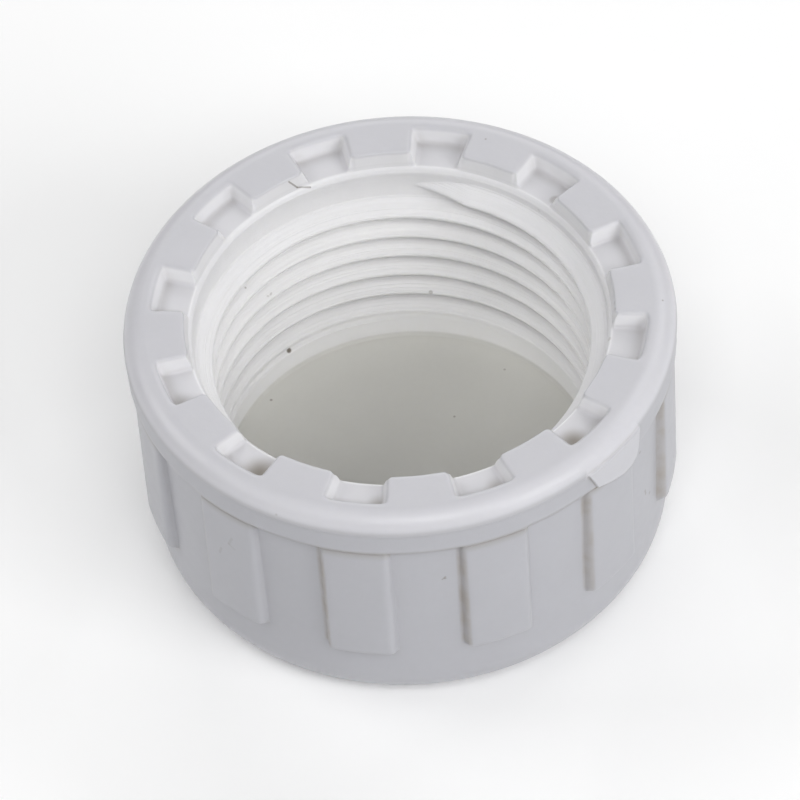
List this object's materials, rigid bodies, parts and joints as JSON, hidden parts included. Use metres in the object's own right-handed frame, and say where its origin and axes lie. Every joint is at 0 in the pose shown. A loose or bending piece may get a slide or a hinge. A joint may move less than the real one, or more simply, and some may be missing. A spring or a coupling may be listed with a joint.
{
  "type": "threaded end cap",
  "caption": "Moulded plastic end cap with an internal parallel pipe thread, grip ribs and a notched mouth, for closing a threaded pipe end.",
  "frame": {"origin": "centre of the flat outer base, on the thread's axis", "axes": "+Z along the thread's axis, out of the open mouth; the first notch in the mouth and the first grip rib are centred on -Y"},
  "size_m": [0.0442, 0.0442, 0.024],
  "materials": {
    "white_pvc": "soft gloss, as moulded"
  },
  "bodies": {
    "root": {"end_cap": "white_pvc"}
  },
  "joints": []
}
